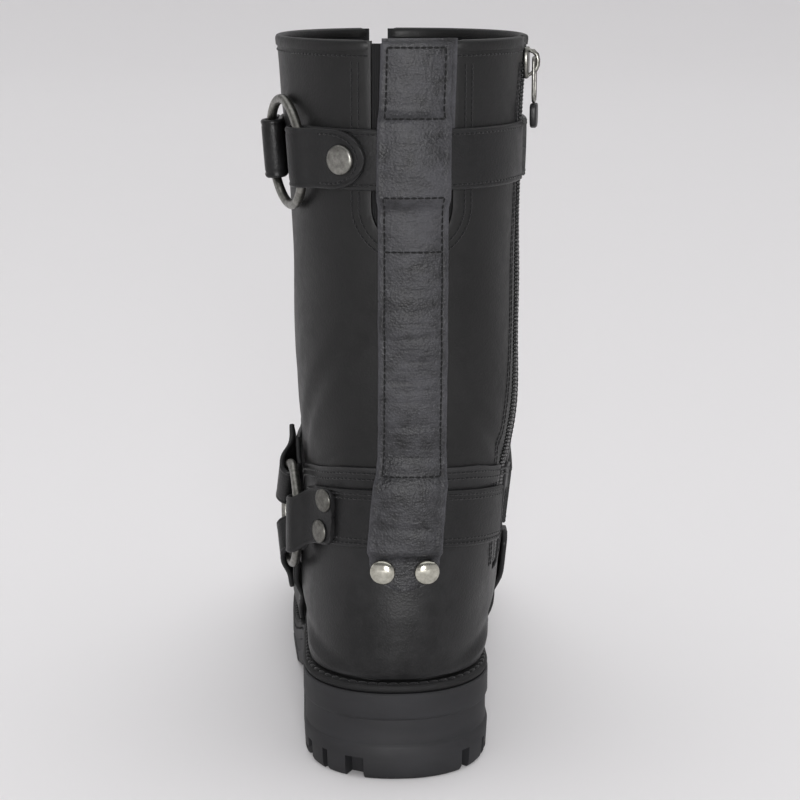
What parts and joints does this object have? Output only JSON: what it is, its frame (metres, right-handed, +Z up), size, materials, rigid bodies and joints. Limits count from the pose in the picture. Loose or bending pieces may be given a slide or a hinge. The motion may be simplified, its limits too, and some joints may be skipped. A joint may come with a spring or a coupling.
{
  "type": "harness boot",
  "caption": "Left harness boot in black leather with a back strip, side zip, calf and ankle straps on round rings, and a lug sole.",
  "frame": {"origin": "middle of the heel's resting face on the ground", "axes": "+Z up along the shaft, +Y to the toe, +X to the medial side"},
  "size_m": [0.1199, 0.313, 0.312],
  "materials": {
    "outsole": "matte",
    "welt": "matte",
    "upper": "matte pull-up leather",
    "heel_counter": "matte pull-up leather",
    "vamp": "matte pull-up leather",
    "insole": "matte pull-up leather",
    "back_gore": "ribbed elastic",
    "calf_ring": "antique nickel",
    "ankle_ring": "antique nickel",
    "calf_strap_rear": "matte pull-up leather",
    "calf_strap_front": "matte pull-up leather",
    "ankle_strap_rear": "matte pull-up leather",
    "instep_strap": "matte pull-up leather",
    "arch_strap_lateral": "matte pull-up leather",
    "arch_strap_medial": "matte pull-up leather",
    "back_strip": "matte pull-up leather",
    "calf_snap": "antique nickel",
    "tab_rivet_1": "antique nickel",
    "tab_rivet_2": "antique nickel",
    "strip_rivet_1": "bright nickel dome",
    "strip_rivet_2": "bright nickel dome",
    "zip_tape": "woven tape with dark teeth",
    "zip_slider": "antique nickel",
    "pull_loop": "antique nickel",
    "pull_tip": "moulded"
  },
  "bodies": {
    "boot": {"outsole": "outsole", "welt": "welt", "upper": "upper", "heel_counter": "heel_counter", "vamp": "vamp", "insole": "insole", "back_gore": "back_gore", "calf_strap_rear": "calf_strap_rear", "calf_strap_front": "calf_strap_front", "ankle_strap_rear": "ankle_strap_rear", "instep_strap": "instep_strap", "arch_strap_lateral": "arch_strap_lateral", "arch_strap_medial": "arch_strap_medial", "back_strip": "back_strip", "calf_snap": "calf_snap", "tab_rivet_1": "tab_rivet_1", "tab_rivet_2": "tab_rivet_2", "strip_rivet_1": "strip_rivet_1", "strip_rivet_2": "strip_rivet_2", "zip_tape": "zip_tape", "zip_slider": "zip_slider"},
    "pull": {"pull_loop": "pull_loop", "pull_tip": "pull_tip"},
    "calf_ring_body": {"calf_ring": "calf_ring"},
    "ankle_ring_body": {"ankle_ring": "ankle_ring"}
  },
  "joints": [
    {"name": "pull_hinge", "type": "hinge", "parent": "boot", "child": "pull", "pos_m": [0.05833, 0.00432, 0.30322], "axis": [-0.1935, -0.9811, 0], "range_deg": [0, 150]},
    {"name": "calf_ring_turn", "type": "hinge", "parent": "boot", "child": "calf_ring_body", "pos_m": [-0.04536, -0.00442, 0.26524], "axis": [-0.9496, -0.305, -0.073], "continuous": true},
    {"name": "ankle_ring_turn", "type": "hinge", "parent": "boot", "child": "ankle_ring_body", "pos_m": [-0.04536, 0.0123, 0.10468], "axis": [-0.9897, -0.1417, 0.0186], "continuous": true}
  ]
}
